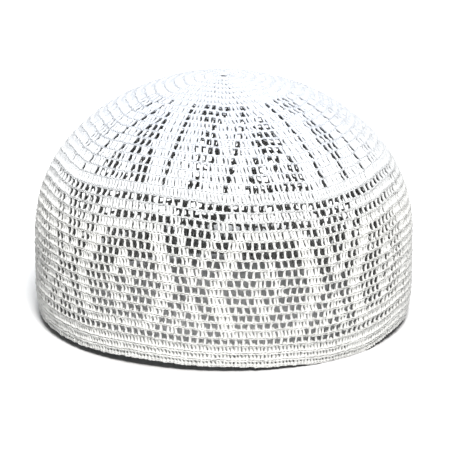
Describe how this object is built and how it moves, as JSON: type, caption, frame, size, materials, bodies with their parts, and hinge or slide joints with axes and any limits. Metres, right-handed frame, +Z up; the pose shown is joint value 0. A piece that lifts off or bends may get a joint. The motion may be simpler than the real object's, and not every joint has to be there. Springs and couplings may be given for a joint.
{
  "type": "crochet cap",
  "caption": "Round crocheted cotton skull cap with a domed crown of open figures, an open lattice side band and a close ribbed rim",
  "frame": {"origin": "centre of the cap at the floor that its rim stands on", "axes": "+Z up through the crown, -Y the front seen in the picture, +X to the right in the picture"},
  "size_m": [0.18, 0.18, 0.1179],
  "materials": {
    "white_cotton": "matt cotton crochet",
    "band_cotton": "matt cotton crochet",
    "edging_cotton": "matt cotton crochet"
  },
  "bodies": {
    "root": {"crown": "white_cotton", "side_band": "band_cotton", "rim_edging": "edging_cotton"}
  },
  "joints": []
}
